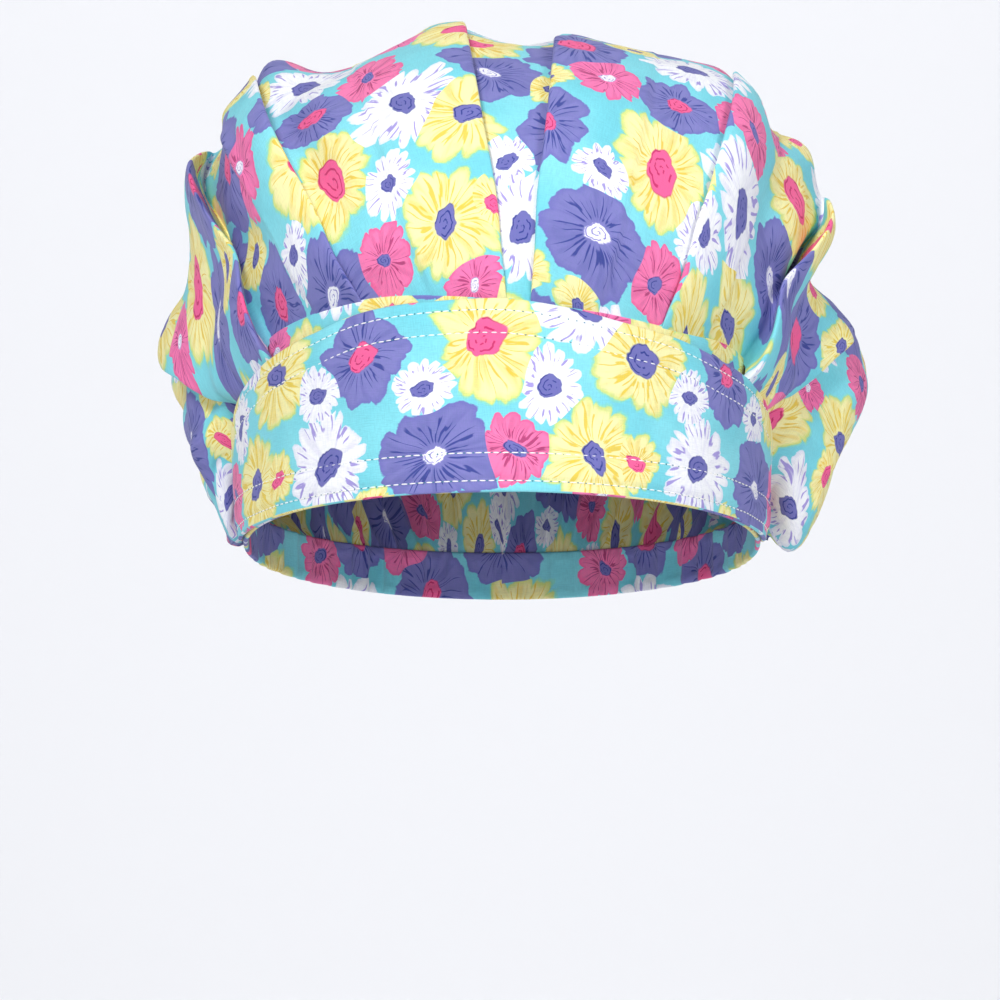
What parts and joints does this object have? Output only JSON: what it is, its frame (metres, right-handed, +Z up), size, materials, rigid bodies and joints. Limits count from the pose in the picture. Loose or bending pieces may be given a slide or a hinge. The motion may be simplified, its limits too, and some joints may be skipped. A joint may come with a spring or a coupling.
{
  "type": "surgical scrub cap",
  "caption": "Pleated bouffant scrub cap of floral cotton with a turned-up front brim and a gathered band behind the ears, in the shape it has when worn.",
  "frame": {"origin": "centre of the head opening, level with the band's lower edge at the ears", "axes": "+Z up through the crown, -Y to the front of the cap, +X to the right of someone looking at its front"},
  "size_m": [0.2249, 0.225, 0.185],
  "materials": {
    "headband": "matte printed cotton",
    "brim": "matte printed cotton",
    "crown": "matte printed cotton"
  },
  "bodies": {
    "root": {"headband": "headband", "brim": "brim", "crown": "crown"}
  },
  "joints": []
}
